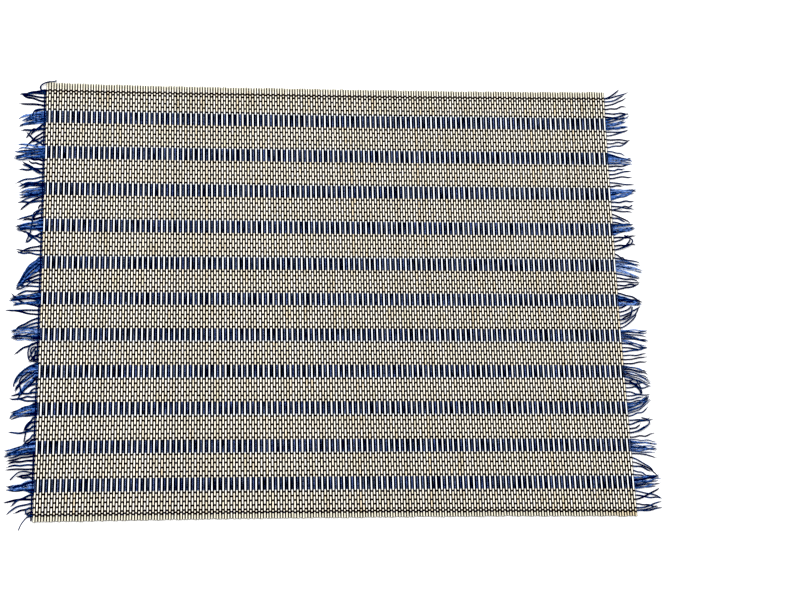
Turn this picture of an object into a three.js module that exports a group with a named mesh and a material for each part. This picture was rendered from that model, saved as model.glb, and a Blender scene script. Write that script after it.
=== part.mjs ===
// Woven placemat: one flat mat of thin bamboo sticks bound with cotton yarn,
// and a fringe of loose yarn ends along each of its two short sides.
// Millimetres, Z up. X runs along the yarns, Y along the sticks, +Y is the far edge.
// The origin is the middle of the mat's flat underside.

import * as THREE from "three";

// ---- Sticks ----------------------------------------------------------------
const STICK_COUNT = 220;
const STICK_PITCH = 1.945;
const STICK_LENGTH = 330;
const HALF_WIDTH = (STICK_COUNT * STICK_PITCH) / 2;
const HALF_LENGTH = STICK_LENGTH / 2;

// Ribs of the mat's upper face, one to a stick.
const CROWN_HEIGHT = 1.8;
const VALLEY_HEIGHT = 1.05;
const CROWN_FLAT = 0.85;

// How far the edges draw in at their middles, by what share the weave is wider at
// its near end and narrower at its far end, and how uneven the stick ends are.
const FAR_END_SAG = 1.6;
const NEAR_END_SAG = 1.25;
const END_SAG_POWER = 3;
const LEFT_DRAW_IN = 0.8;
const RIGHT_DRAW_IN = 1.5;
const WIDENING = 0.0104;
const END_UNEVENNESS = 0.3;
const VALLEY_END_INSET = 0.25;

// Steps of the mat's mesh: bands along the sticks, and sticks to a step of the underside.
const MAT_BANDS = 3;
const STICKS_PER_BASE_STEP = 11;

// ---- Yarn rows -------------------------------------------------------------
const STRIPE_COUNT = 11;
const STRIPE_PITCH = 27.75;
const STRIPE_DEPTH = 9.3;
const LOCKS_PER_STRIPE = 6;
const ROWS_PER_GAP = 6;
const ROWS_PER_END = 5;
const ROW_PITCH = 3.13;
const ROW_TO_STRIPE = 1.4;
const TWINE_TO_ROW = 2.1;
const TWINE_SPREAD = 1.25;

// How far the middle rows lie nearer the near edge than even spacing puts them.
const ROW_DRIFT = 1.8;

// ---- Fringe ----------------------------------------------------------------
const PIECE_GAP = 0.3;
const EDGE_YARN_WIDTH = 1.2;
const EDGE_YARN_HEIGHT = 1.5;
const STRIP_WIDTH = 0.9;
const STRIP_HEIGHT = 1.1;
const BACKING_BANDS = 12;

const YARN_WIDTH = 1.0;
const LOCK_WIDTH = 1.25;
const YARN_HEIGHT = 0.9;
const TIP_SHARE = 0.62;
const STRAND_GAP = 0.32;
const TIP_PITCH = 1.12;
const FULL_REACH = 18;
const BEND_POWER = 1.45;
const STEEP_SHARE = 0.6;
const SHORTEST_SHARE = 0.55;
const LOCK_UNEVENNESS = 0.12;
const SINGLE_STATIONS = [0, 0.25, 0.5, 0.75, 1];
const LOCK_STATIONS = [0, 0.35, 0.7, 1];

// Locks of the dense stripes, counted from the far edge. The drops are how far the
// first and the last tip lie nearer the near edge than their roots.
const LEFT_LOCKS = [
  { stripe: 0, firstDrop: 3.6, lastDrop: 6.4, reach: 18.5 },
  { stripe: 1, firstDrop: -1.1, lastDrop: 3.3, reach: 20.0 },
  { stripe: 2, firstDrop: 1.2, lastDrop: 4.0, reach: 17.4 },
  { stripe: 3, firstDrop: 4.1, lastDrop: 0.9, reach: 18.5 },
  { stripe: 4, firstDrop: 14.0, lastDrop: 13.0, reach: 17.0 },
  { stripe: 5, firstDrop: 2.7, lastDrop: 0.0, reach: 20.4 },
  { stripe: 6, firstDrop: 1.9, lastDrop: -0.6, reach: 19.5 },
  { stripe: 7, firstDrop: 8.5, lastDrop: 14.0, reach: 17.5 },
  { stripe: 8, firstDrop: 5.5, lastDrop: 2.9, reach: 17.9 },
  { stripe: 9, firstDrop: 7.7, lastDrop: 3.0, reach: 19.7 },
  { stripe: 10, firstDrop: 3.5, lastDrop: -2.1, reach: 17.9 },
];
const RIGHT_LOCKS = [
  { stripe: 0, firstDrop: -7.0, lastDrop: -0.7, reach: 17.4 },
  { stripe: 1, firstDrop: 1.1, lastDrop: -1.1, reach: 18.2 },
  { stripe: 2, firstDrop: -1.1, lastDrop: -4.9, reach: 19.0 },
  { stripe: 3, firstDrop: 0.0, lastDrop: -4.2, reach: 16.3 },
  { stripe: 4, firstDrop: 1.1, lastDrop: 5.0, reach: 17.7 },
  { stripe: 5, firstDrop: 3.9, lastDrop: 0.0, reach: 17.4 },
  { stripe: 6, firstDrop: 0.0, lastDrop: 4.7, reach: 19.0 },
  { stripe: 7, firstDrop: -1.4, lastDrop: 8.0, reach: 17.5 },
  { stripe: 8, firstDrop: -4.6, lastDrop: -9.5, reach: 16.2 },
  { stripe: 9, firstDrop: -1.9, lastDrop: 1.2, reach: 19.0 },
  { stripe: 10, firstDrop: -1.6, lastDrop: -2.3, reach: 18.3 },
];

// Single yarns of the rows beyond each stripe, from the far edge to the near edge.
const LEFT_SINGLES = [
  { after: -1, drops: [2.2, 1.7, 0.3, -2.6, -5.1, -2.2, 1.6], reach: 17.5 },
  { after: 0, drops: [7.7, 1.7, 10.0, 4.5, 3.0, -9.0], reach: 14.5 },
  { after: 1, drops: [-1.0, -2.7, 1.3, -7.5, 3.5, 2.8], reach: 17.0 },
  { after: 2, drops: [10.2, 1.1, 2.0, 8.0, 4.9, 1.7], reach: 16.5 },
  { after: 3, drops: [7.0, -5.0, -7.0, 4.6, -1.7, -1.9], reach: 16.5 },
  { after: 4, drops: [9.6, 7.2, 3.6, -2.8, -1.2, 2.9], reach: 16.5 },
  { after: 5, drops: [-9.3, -0.6, -3.3, 9.9, 6.9, 2.2], reach: 20.0 },
  { after: 6, drops: [7.6, 9.0, 6.5, 4.9, 1.5, 4.2], reach: 10.0 },
  { after: 7, drops: [4.6, 2.7, 2.7, 1.6, 0.3, -2.5], reach: 13.0 },
  { after: 8, drops: [8.7, 4.4, 2.9, 0.9, 7.2, 4.8], reach: 13.0 },
  { after: 9, drops: [3.3, 2.1, 1.4, 0.8, 2.1, 0.0], reach: 17.5 },
  { after: 10, drops: [-1.1, 7.3, 2.2, 7.2, 3.0, 0.5, 1.0], reach: 17.0 },
];
const RIGHT_SINGLES = [
  { after: -1, drops: [-8.0, -5.1, -5.4, -6.5, -2.2, -0.6, 0.0], reach: 17.6 },
  { after: 0, drops: [-1.8, -4.3, 0.0, -2.3, -3.1, 3.0], reach: 16.5 },
  { after: 1, drops: [-1.4, -2.2, -3.0, -1.4, 1.2, -0.6], reach: 16.0 },
  { after: 2, drops: [-1.9, 2.5, 1.2, 6.9, 2.5, 1.7], reach: 16.0 },
  { after: 3, drops: [-1.0, -5.4, -0.7, -8.5, 3.8, 3.1], reach: 15.5 },
  { after: 4, drops: [3.6, 1.8, 1.1, -1.8, -3.7, 5.9], reach: 17.0 },
  { after: 5, drops: [-2.4, -4.8, -6.8, -5.2, -10.0, -9.5], reach: 16.0 },
  { after: 6, drops: [4.1, 1.4, -2.4, -1.1, -2.6, -2.2], reach: 17.4 },
  { after: 7, drops: [9.0, 0.0, 0.0, 2.0, -1.2, -2.5], reach: 15.5 },
  { after: 8, drops: [-5.2, 0.0, -4.2, -3.2, -6.8, -2.1], reach: 16.5 },
  { after: 9, drops: [2.9, 9.0, 9.0, 3.7, 3.5, 2.2], reach: 17.0 },
  { after: 10, drops: [0.9, 1.7, -5.6, 1.2, -4.6, -2.3, 2.3], reach: 17.0 },
];

// The edge yarn's loose far end, which curls round the mat's corner: distances out
// from the edge yarn's line (minus is over the mat's end) and past the corner.
const FAR_CURL = [
  { out: 0.0, past: -6.6 },
  { out: 2.3, past: -4.0 },
  { out: 2.9, past: -1.4 },
  { out: 1.3, past: 0.9 },
  { out: -3.0, past: 1.5 },
  { out: -8.5, past: 1.9 },
];
// The same yarn's loose near end lies out from the near corner.
const NEAR_TAIL = { rootFromEnd: 3.4, drop: 11.4, reach: 11.8 };

// ---- Looks -----------------------------------------------------------------
const BAMBOO_COLOUR = 0xd9ceb4;
const YARN_COLOUR = 0x22387f;
const BAMBOO_ROUGHNESS = 0.72;
const YARN_ROUGHNESS = 0.95;

// A repeatable number from 0 to 1 for each whole number: the fraction that is left
// of a large multiple of a sine. The salt picks one of many such rows of numbers.
const INDEX_STEP = 12.9898;
const SALT_STEP = 78.233;
const SCATTER_SCALE = 43758.5453;
const LOCK_SALT = 5;

function scatter(index, salt) {
  const wave = Math.sin(index * INDEX_STEP + salt * SALT_STEP) * SCATTER_SCALE;
  return wave - Math.floor(wave);
}

// Where a point of the even weave lies in the mat, whose side edges draw in.
function drawnX(x, y) {
  const across = x / HALF_WIDTH;
  const along = y / HALF_LENGTH;
  const drawIn = x < 0 ? LEFT_DRAW_IN : RIGHT_DRAW_IN;
  return x * (1 - WIDENING * along) - across * drawIn * (1 - along * along);
}

// Y of the stick ends at x: side is 1 for the far end and -1 for the near end.
function endY(x, side) {
  const across = Math.abs(x) / HALF_WIDTH;
  const sag = side > 0 ? FAR_END_SAG : NEAR_END_SAG;
  return side * (HALF_LENGTH - sag * (1 - Math.pow(across, END_SAG_POWER)));
}

function geometryOf({ points, triangles }) {
  const geometry = new THREE.BufferGeometry();
  geometry.setAttribute("position", new THREE.Float32BufferAttribute(points.flat(), 3));
  geometry.setIndex(triangles.flat());
  geometry.computeVertexNormals();
  return geometry;
}

function distanceBetween(a, b) {
  return Math.hypot(a[0] - b[0], a[1] - b[1], a[2] - b[2]);
}

// Two triangles over four corners, given in order round the face.
function addQuad(shape, a, b, c, d) {
  shape.triangles.push([a, b, c], [a, c, d]);
}

// Fills the band between two lines of points that run the same way, by the shorter
// diagonal each time. Seen from outside, the second line is on the first one's left.
function addBand(shape, first, second) {
  let i = 0;
  let j = 0;
  while (i < first.length - 1 || j < second.length - 1) {
    const firstDone = i === first.length - 1;
    const secondDone = j === second.length - 1;
    const stepFirst =
      secondDone ||
      (!firstDone &&
        distanceBetween(shape.points[first[i + 1]], shape.points[second[j]]) <=
          distanceBetween(shape.points[first[i]], shape.points[second[j + 1]]));
    if (stepFirst) {
      shape.triangles.push([first[i], first[i + 1], second[j]]);
      i += 1;
    } else {
      shape.triangles.push([first[i], second[j + 1], second[j]]);
      j += 1;
    }
  }
}

function addPoint(shape, x, y, z) {
  shape.points.push([x, y, z]);
  return shape.points.length - 1;
}

function meshNamed(name, geometry, colour, roughness) {
  const material = new THREE.MeshStandardMaterial({
    color: colour,
    roughness,
    metalness: 0,
    flatShading: true,
  });
  const mesh = new THREE.Mesh(geometry, material);
  mesh.name = name;
  return mesh;
}

// ---- The mat ---------------------------------------------------------------
// Its upper face has three columns of points to a stick: a valley and the two
// shoulders of the crown. Its underside is flat, with far fewer points.
function ribColumns() {
  const shoulder = (STICK_PITCH - CROWN_FLAT) / 2;
  const columns = [];
  for (let stick = 0; stick < STICK_COUNT; stick += 1) {
    const x = stick * STICK_PITCH - HALF_WIDTH;
    columns.push({ stick, x, height: VALLEY_HEIGHT, valley: true });
    columns.push({ stick, x: x + shoulder, height: CROWN_HEIGHT, valley: false });
    columns.push({ stick, x: x + shoulder + CROWN_FLAT, height: CROWN_HEIGHT, valley: false });
  }
  columns.push({ stick: STICK_COUNT, x: HALF_WIDTH, height: VALLEY_HEIGHT, valley: true });
  return columns;
}

// How much farther out than the smooth edge a column of the upper face ends.
function endOffset(column, side) {
  if (column.valley) return -VALLEY_END_INSET;
  return (scatter(column.stick, side) - 0.5) * END_UNEVENNESS;
}

function buildMat() {
  const shape = { points: [], triangles: [] };
  const topRows = [];
  const baseRows = [];
  for (let band = 0; band <= MAT_BANDS; band += 1) {
    const share = band / MAT_BANDS;
    const side = { 0: -1, [MAT_BANDS]: 1 }[band] ?? 0;
    const rowY = (x) => THREE.MathUtils.lerp(endY(x, -1), endY(x, 1), share);
    topRows.push(
      ribColumns().map((column) => {
        const y = rowY(column.x) + side * endOffset(column, side);
        return addPoint(shape, drawnX(column.x, y), y, column.height);
      }),
    );
    const baseRow = [];
    for (let stick = 0; stick <= STICK_COUNT; stick += STICKS_PER_BASE_STEP) {
      const x = stick * STICK_PITCH - HALF_WIDTH;
      const y = rowY(x);
      baseRow.push(addPoint(shape, drawnX(x, y), y, 0));
    }
    baseRows.push(baseRow);
  }
  for (let band = 0; band < MAT_BANDS; band += 1) {
    addBand(shape, topRows[band], topRows[band + 1]);
    addBand(shape, baseRows[band + 1], baseRows[band]);
    const [top, nextTop] = [topRows[band], topRows[band + 1]];
    const [base, nextBase] = [baseRows[band], baseRows[band + 1]];
    addQuad(shape, base[0], top[0], nextTop[0], nextBase[0]);
    addQuad(shape, base.at(-1), nextBase.at(-1), nextTop.at(-1), top.at(-1));
  }
  addBand(shape, baseRows[0], topRows[0]);
  addBand(shape, topRows.at(-1), baseRows.at(-1));
  return geometryOf(shape);
}

// ---- Rows of yarn ----------------------------------------------------------
function stripeY(stripe) {
  return ((STRIPE_COUNT - 1) / 2 - stripe) * STRIPE_PITCH;
}

function driftedY(y) {
  const share = y / stripeY(0);
  return y - ROW_DRIFT * Math.max(1 - share * share, 0);
}

// Where the single yarns beyond a stripe leave the edge, from far to near.
function singleRoots(after) {
  const roots = [];
  if (after < 0) {
    const nearest = stripeY(0) + STRIPE_DEPTH / 2 + ROW_TO_STRIPE;
    const twine = nearest + (ROWS_PER_END - 1) * ROW_PITCH + TWINE_TO_ROW;
    roots.push(twine + TWINE_SPREAD / 2, twine - TWINE_SPREAD / 2);
    for (let row = ROWS_PER_END - 1; row >= 0; row -= 1) {
      roots.push(nearest + row * ROW_PITCH);
    }
    return roots;
  }
  const nearest = stripeY(after) - STRIPE_DEPTH / 2 - ROW_TO_STRIPE;
  const atNearEnd = after === STRIPE_COUNT - 1;
  const rows = atNearEnd ? ROWS_PER_END : ROWS_PER_GAP;
  for (let row = 0; row < rows; row += 1) {
    roots.push(nearest - row * ROW_PITCH);
  }
  if (atNearEnd) {
    const twine = nearest - (rows - 1) * ROW_PITCH - TWINE_TO_ROW;
    roots.push(twine + TWINE_SPREAD / 2, twine - TWINE_SPREAD / 2);
  }
  return roots;
}

// ---- Fringe strands --------------------------------------------------------
// The share of its drop that a strand has made at a distance out from the edge.
function bend(out) {
  return Math.pow(Math.max(out, 0) / FULL_REACH, BEND_POWER);
}

function strandOf(evenRoot, drop, reach, width, stations) {
  const root = driftedY(evenRoot);
  const steep = reach * reach - STEEP_SHARE * drop * drop;
  const shortest = SHORTEST_SHARE * reach;
  const ownReach = Math.sqrt(Math.max(steep, shortest * shortest));
  const fullTip = root - drop / bend(Math.max(ownReach, FULL_REACH / 2));
  return { root, tip: fullTip, reach: ownReach, width, stations };
}

// All strands of one side, from the far edge to the near edge.
function strandsOf(locks, singles) {
  const strands = [];
  const addSingles = (entry) => {
    singleRoots(entry.after).forEach((root, i) => {
      strands.push(strandOf(root, entry.drops[i], entry.reach, YARN_WIDTH, SINGLE_STATIONS));
    });
  };
  addSingles(singles[0]);
  locks.forEach((entry, stripe) => {
    const lockPitch = STRIPE_DEPTH / LOCKS_PER_STRIPE;
    const farthest = stripeY(stripe) + STRIPE_DEPTH / 2 - lockPitch / 2;
    for (let lock = 0; lock < LOCKS_PER_STRIPE; lock += 1) {
      const share = lock / (LOCKS_PER_STRIPE - 1);
      const drop = THREE.MathUtils.lerp(entry.firstDrop, entry.lastDrop, share);
      const uneven = 1 - LOCK_UNEVENNESS * scatter(strands.length, LOCK_SALT);
      const root = farthest - lock * lockPitch;
      strands.push(strandOf(root, drop, entry.reach * uneven, LOCK_WIDTH, LOCK_STATIONS));
    }
    addSingles(singles[stripe + 1]);
  });
  return strands;
}

// Tips that would cross are moved to lie side by side, a tip's pitch apart:
// runs of tips that are too close share one middle.
function spreadTips(strands) {
  const runs = [];
  strands.forEach((strand, i) => {
    runs.push({ sum: strand.tip + i * TIP_PITCH, count: 1 });
    while (runs.length > 1) {
      const last = runs[runs.length - 1];
      const before = runs[runs.length - 2];
      if (before.sum / before.count >= last.sum / last.count) break;
      before.sum += last.sum;
      before.count += last.count;
      runs.pop();
    }
  });
  let i = 0;
  for (const run of runs) {
    for (let k = 0; k < run.count; k += 1) {
      strands[i].tip = run.sum / run.count - i * TIP_PITCH;
      i += 1;
    }
  }
}

function strandY(strand, out) {
  return strand.root + (strand.tip - strand.root) * bend(out);
}

function strandSlope(strand, out) {
  const share = Math.max(out, 0) / FULL_REACH;
  const bendSlope = (BEND_POWER / FULL_REACH) * Math.pow(share, BEND_POWER - 1);
  return (strand.tip - strand.root) * bendSlope;
}

// The widest that a strand may be there and still stand apart from its neighbours.
function roomFor(strands, i, out) {
  const here = strandY(strands[i], out);
  let room = Infinity;
  for (const neighbour of [strands[i - 1], strands[i + 1]]) {
    if (!neighbour || out > neighbour.reach + STRAND_GAP * 2) continue;
    const slope = Math.max(
      Math.abs(strandSlope(strands[i], out)),
      Math.abs(strandSlope(neighbour, out)),
    );
    const apart = Math.abs(strandY(neighbour, out) - here) / Math.hypot(1, slope);
    room = Math.min(room, apart - STRAND_GAP);
  }
  return room;
}

// A three-sided strand with one side flat on the table, swept on from its root
// corners. Each place gives the strand's middle there, its width and its height.
function addStrand(shape, rootRing, places, side) {
  let ring = rootRing;
  places.slice(1).forEach((place, i) => {
    const before = places[i];
    const after = places[i + 2] ?? place;
    const length = Math.hypot(after.x - before.x, after.y - before.y);
    const acrossX = ((before.y - after.y) / length) * side * (place.width / 2);
    const acrossY = ((after.x - before.x) / length) * side * (place.width / 2);
    const next = [
      addPoint(shape, place.x + acrossX, place.y + acrossY, 0),
      addPoint(shape, place.x, place.y, place.height),
      addPoint(shape, place.x - acrossX, place.y - acrossY, 0),
    ];
    ring.forEach((corner, k) => {
      const beside = (k + 1) % ring.length;
      addQuad(shape, corner, next[k], next[beside], ring[beside]);
    });
    ring = next;
  });
  shape.triangles.push([ring[0], ring[2], ring[1]]);
}

// The edge yarn's loose end: the bar itself, bent on from its last four corners.
function addCurl(shape, startRing, places) {
  let ring = startRing;
  places.forEach((place, i) => {
    const before = places[i - 1] ?? { x: place.x, y: place.y - 1 };
    const after = places[i + 1] ?? place;
    const length = Math.hypot(after.x - before.x, after.y - before.y);
    const acrossX = ((after.y - before.y) / length) * (place.width / 2);
    const acrossY = ((before.x - after.x) / length) * (place.width / 2);
    const next = [
      addPoint(shape, place.x + acrossX, place.y + acrossY, 0),
      addPoint(shape, place.x - acrossX, place.y - acrossY, 0),
      addPoint(shape, place.x - acrossX, place.y - acrossY, place.width),
      addPoint(shape, place.x + acrossX, place.y + acrossY, place.width),
    ];
    ring.forEach((corner, k) => {
      const beside = (k + 1) % ring.length;
      addQuad(shape, corner, ring[beside], next[beside], next[k]);
    });
    ring = next;
  });
  addQuad(shape, ring[0], ring[1], ring[2], ring[3]);
}

// Where each strand of one side lies, its root on the backing's outer face.
function placesOf(strands, side, backing) {
  return strands.map((strand, i) =>
    strand.stations.map((station) => {
      const out = strand.reach * station;
      const y = strandY(strand, out);
      const taper = THREE.MathUtils.lerp(1, TIP_SHARE, station);
      const width = Math.min(strand.width * taper, roomFor(strands, i, out));
      const height = out === 0 ? backing.height : Math.min(YARN_HEIGHT, width);
      return { x: outerX(side, strand.root, backing) + side * out, y, width, height };
    }),
  );
}

// The mat's side face runs straight between its bands, and the backing beside it too.
function innerX(side, y) {
  const along = ((y + HALF_LENGTH) / STICK_LENGTH) * MAT_BANDS;
  const band = THREE.MathUtils.clamp(Math.floor(along), 0, MAT_BANDS - 1);
  const bandX = (step) => {
    const bandY = THREE.MathUtils.lerp(-HALF_LENGTH, HALF_LENGTH, step / MAT_BANDS);
    return drawnX(side * HALF_WIDTH, bandY);
  };
  return THREE.MathUtils.lerp(bandX(band), bandX(band + 1), along - band) + side * PIECE_GAP;
}

function outerX(side, y, backing) {
  return innerX(side, y) + side * backing.width;
}

// One side's fringe: its backing bar, whose outer face the strands grow from.
// Lines of points run from the far end to the near end.
function buildFringe(side, backing, locks, singles) {
  const strands = strandsOf(locks, singles);
  if (backing.tail) {
    const { rootFromEnd, drop, reach } = backing.tail;
    const root = -HALF_LENGTH + rootFromEnd;
    strands.push(strandOf(root, drop, reach, YARN_WIDTH, SINGLE_STATIONS));
  }
  spreadTips(strands);

  const shape = { points: [], triangles: [] };
  const innerFoot = [];
  const innerTop = [];
  for (let band = 0; band <= BACKING_BANDS; band += 1) {
    const y = THREE.MathUtils.lerp(backing.farY, backing.nearY, band / BACKING_BANDS);
    innerFoot.push(addPoint(shape, innerX(side, y), y, 0));
    innerTop.push(addPoint(shape, innerX(side, y), y, backing.height));
  }
  const outerPoint = (y, z) => addPoint(shape, outerX(side, y, backing), y, z);
  const outerFoot = [outerPoint(backing.farY, 0)];
  const outerTop = [outerPoint(backing.farY, backing.height)];
  for (const places of placesOf(strands, side, backing)) {
    const root = places[0];
    const ring = [
      outerPoint(root.y + root.width / 2, 0),
      outerPoint(root.y, backing.height),
      outerPoint(root.y - root.width / 2, 0),
    ];
    addQuad(shape, outerFoot.at(-1), ring[0], ring[1], outerTop.at(-1));
    outerFoot.push(ring[0], ring[2]);
    outerTop.push(ring[1]);
    addStrand(shape, ring, places, side);
  }
  const nearFoot = outerPoint(backing.nearY, 0);
  const nearTop = outerPoint(backing.nearY, backing.height);
  addQuad(shape, outerFoot.at(-1), nearFoot, nearTop, outerTop.at(-1));
  outerFoot.push(nearFoot);
  outerTop.push(nearTop);

  addBand(shape, outerTop, innerTop);
  addBand(shape, innerFoot, outerFoot);
  addBand(shape, innerTop, innerFoot);
  addQuad(shape, outerFoot.at(-1), innerFoot.at(-1), innerTop.at(-1), outerTop.at(-1));
  if (backing.curl) {
    const line = (innerX(side, HALF_LENGTH) + outerX(side, HALF_LENGTH, backing)) / 2;
    const last = backing.curl.length - 1;
    const places = backing.curl.map((step, i) => ({
      x: line + side * step.out,
      y: HALF_LENGTH + step.past,
      width: YARN_WIDTH * THREE.MathUtils.lerp(1, TIP_SHARE, i / last),
    }));
    addCurl(shape, [innerFoot[0], outerFoot[0], outerTop[0], innerTop[0]], places);
  } else {
    addQuad(shape, innerFoot[0], outerFoot[0], outerTop[0], innerTop[0]);
  }

  // Lines from far to near leave the right side's faces turned inwards.
  if (side > 0) shape.triangles.forEach((triangle) => triangle.reverse());
  return geometryOf(shape);
}

const twineRoot = singleRoots(-1)[0];
const leftFringe = buildFringe(
  -1,
  {
    width: EDGE_YARN_WIDTH,
    height: EDGE_YARN_HEIGHT,
    farY: twineRoot + YARN_WIDTH,
    nearY: -HALF_LENGTH,
    curl: FAR_CURL,
    tail: NEAR_TAIL,
  },
  LEFT_LOCKS,
  LEFT_SINGLES,
);
const rightFringe = buildFringe(
  1,
  {
    width: STRIP_WIDTH,
    height: STRIP_HEIGHT,
    farY: twineRoot + YARN_WIDTH,
    nearY: -twineRoot - YARN_WIDTH,
  },
  RIGHT_LOCKS,
  RIGHT_SINGLES,
);

const placemat = new THREE.Group();
placemat.name = "placemat";
placemat.add(meshNamed("mat", buildMat(), BAMBOO_COLOUR, BAMBOO_ROUGHNESS));
placemat.add(meshNamed("fringe_left", leftFringe, YARN_COLOUR, YARN_ROUGHNESS));
placemat.add(meshNamed("fringe_right", rightFringe, YARN_COLOUR, YARN_ROUGHNESS));

export default placemat;
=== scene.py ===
"""Table mat of thin bamboo sticks bound side by side with blue cotton yarn.

220 sticks lie side by side. Cotton yarns cross them, over one and under the next:
eleven dense stripes of ten yarns, single yarns between them and a twined pair at
each end. The yarn ends hang loose on both sides. The tables are in millimetres, and
the finished meshes in metres.
"""

import math

import bmesh
import bpy
import numpy as np
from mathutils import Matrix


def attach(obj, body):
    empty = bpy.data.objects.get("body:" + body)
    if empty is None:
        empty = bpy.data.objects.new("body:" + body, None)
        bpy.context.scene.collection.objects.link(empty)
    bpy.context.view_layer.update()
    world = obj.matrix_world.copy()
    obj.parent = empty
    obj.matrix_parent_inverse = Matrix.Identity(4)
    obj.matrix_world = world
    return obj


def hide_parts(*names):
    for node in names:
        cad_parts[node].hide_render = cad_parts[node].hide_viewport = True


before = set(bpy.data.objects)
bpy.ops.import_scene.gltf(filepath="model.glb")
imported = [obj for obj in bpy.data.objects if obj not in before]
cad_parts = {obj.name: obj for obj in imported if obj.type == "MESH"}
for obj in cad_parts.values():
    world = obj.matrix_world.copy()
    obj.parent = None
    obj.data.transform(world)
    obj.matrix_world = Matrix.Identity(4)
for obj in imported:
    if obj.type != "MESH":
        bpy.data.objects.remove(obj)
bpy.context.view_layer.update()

bl_info = {
    "name": "Bamboo and cotton table mat",
    "version": (1, 0, 0),
    "blender": (4, 2, 0),
    "location": "View3D > Sidebar > Table mat",
    "description": "Models a woven table mat of bamboo sticks and cotton yarn",
    "category": "Object",
}

MM = 0.001
FULL_TURN = 2 * math.pi
BODY = "root"
# Where the random draws of each part start.
SEEDS = {"sway": 11, "sticks": 12, "single_rows": 23, "stripes": 37, "twined_ends": 41}
SEEDS |= {"loose_ends_left": 53, "loose_ends_right": 67}

# The mat's outline, as it lies: a little waisted, a little wider at the near end.
HALF_WIDTH = 213.95
HALF_LENGTH = 165.0
WIDENING = 0.0104
LEFT_DRAW_IN, RIGHT_DRAW_IN = 0.8, 1.5
FAR_END_SAG, NEAR_END_SAG = 1.6, 1.25
# How the rows of yarn lie off their even places: all of them, then each stripe, from
# the far end.
ROW_DRIFT = 1.8
ROW_DRIFT_REACH = 138.75
ROW_SAG = 1.18
ROW_SLANT = 0.5
STRIPE_SHIFTS = (-0.7, -0.2, -0.6, -0.6, -1.3, -0.3, 0.3, 0.4, 0.3, -0.5, -1.0)

# The rows of yarn, counted from the far end.
STRIPE_COUNT = 11
STRIPE_PITCH = 27.75
STRIPE_YARNS = 10
STRIPE_YARN_PITCH = 0.93
ROWS_PER_GAP = 6
ROWS_PER_END = 5
ROW_PITCH = 3.13
ROW_TO_STRIPE = 1.4
TWINE_TO_ROW = 2.1
TWINE_SPREAD = 0.42
TWINE_ARC = 0.22

# The sticks: eased edges, cuts along them, and how each one sways, lifts and tans.
STICK_EDGE = 0.45
STICK_CUTS = 11
SWAY = 0.05
MOST_SWAY = 0.08
SWAY_WAVE = 26
LIFT = 0.03
LIFT_WAVE = 40
TAN_STICKS = 16
TAN_WAVE = 37
END_POWER = 6

# Where the bamboo's tones begin and over what way they blend: bare tips, the end of the
# stripes' painted brighter light, the brown near right corner and the painted shade on the
# sides.
TIP_START, TIP_BLEND = 160.2, 0.8
STRIPES_END, STRIPES_BLEND = 150, 5
CORNER_START, CORNER_BLEND = 185, 40
SIDE_SHADE_START, SIDE_SHADE_BLEND = 0.002, 0.055

# How a yarn steps over one stick and under the next, and where its painted highlight lies on
# top.
OVER_HALF = 0.56
HIGH = 1.95
LOW = 0.25
MIDDLE = 1.1
YARN_SIDES = 5
CROWN_START, CROWN_BLEND = 0.7, 0.3
# The waves in which a yarn wanders, calmer near the mat's sides.
WANDER_WAVES = (37.0, 83.0, 190.0)
CALM_EDGE = 12
PICK_REACH = 0.1
# How far nothing comes near the floor, and how deep the finishes' fine relief is.
FLOOR_GAP = 0.01
RELIEF = 0.1

# The loose yarn ends: where they leave the mat, how they bend and how thick they are.
EDGE_INSET = 0.4
BEND_POWER = 1.45
DROP_LATE = 0.04
LOOSE_RADIUS = 0.54
SINGLE_PLUMP = 1.14
LEFT_PLUMP = 1.08
RIGHT_PLUMP = 0.88
LOOSE_STEPS = 13
LOOSE_SIDES = 5
TIP_TAPER = (0.92, 0.8, 0.5)
CURL_PLUMP = 0.92
CURL_TAPER = (0.85, 0.6)
CURL_TONE = (0.1, 0.4)
CURL_SHARES = (0, 0.3, 0.75, 1)
CURL_HEIGHTS = (1.2, 2.0, 1.9, 0.8)
# How far each end's own draw may go: thickness, waves, tone and the turn of its sides.
THICKNESS = (0.85, 1.08)
WAVE_SIZE = (0.2, 0.75)
WAVE_TURNS = (0.6, 1.9)
TONES = (0.1, 0.5, 1.2, 2.0)
TONE_SPREAD = (0.8, 1.2)
TURN = (0, 1.2)
SETTLE_REACH = 3.5
# Two fibres fray from each end: their radii, lengths and spread.
FRAY_RADII = (0.16, 0.13, 0.06)
FRAY_LENGTH = (0.8, 2.0)
FRAY_SPREAD = 0.5
FRAY_SIDES = 3
# Left ends pass under or over the edge yarn: how far out they cross it, come beyond it
# and are clear of it, and how high they are at the first two.
CROSSING_OUT = 1.4
BEYOND_OUT = 1.2
CLEAR_OUT = 3.4
UNDER_HEIGHTS = (0.42, 0.5)
OVER_HEIGHTS = (1.85, 1.15)
# How the yarns of a stripe's lock clump at their tips, and how single ones stray.
CLUMP_SIZES = (1, 2, 2, 3, 3, 4)
CLUMP_LEAN = 0.7
CLUMP_LONGER = (-2.2, 1.2)
CLUMP_ASIDE = 0.6
END_LONGER = (-0.9, 0.9)
LEAST_REACH = 4
STRAY_SHARE = 0.3
STRAY_ASIDE = 1.3
LAYERS = (0, 0, 0.35, 0.7)
SPLAY = 1.2

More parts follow.
